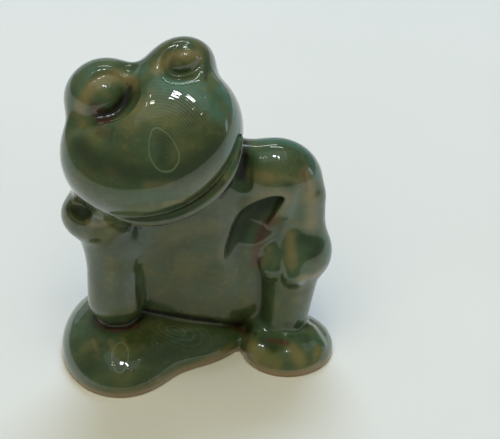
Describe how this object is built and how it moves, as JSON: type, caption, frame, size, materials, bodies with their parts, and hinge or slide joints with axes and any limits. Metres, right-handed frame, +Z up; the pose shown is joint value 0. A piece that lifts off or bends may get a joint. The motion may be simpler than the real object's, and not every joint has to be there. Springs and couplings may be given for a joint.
{
  "type": "ceramic frog figurine",
  "caption": "Small seated frog figurine in green and brown glazed ceramic, head tilted on its right fist, one leg folded flat and the other knee raised.",
  "frame": {"origin": "on the flat underside, under the middle of the bounding box", "axes": "+Z up through the head, -Y is the front (belly side), +X is the frog's own left"},
  "size_m": [0.0326, 0.0226, 0.04],
  "materials": {
    "green_glaze": "gloss green glaze, brown where it pools, tan where it is thin",
    "brown_glaze": "gloss olive-brown glaze, thin on the edges",
    "eye_glaze": "gloss olive glaze with a dark pool at the edge"
  },
  "bodies": {
    "root": {"torso": "green_glaze", "head": "green_glaze", "lower_jaw": "green_glaze", "right_eyelid": "brown_glaze", "left_eyelid": "brown_glaze", "right_eyeball": "eye_glaze", "left_eyeball": "eye_glaze", "right_arm": "green_glaze", "right_hand": "brown_glaze", "left_arm": "green_glaze", "left_hand": "brown_glaze", "right_leg": "green_glaze", "left_thigh": "green_glaze", "left_shin": "green_glaze", "left_foot": "green_glaze"}
  },
  "joints": []
}
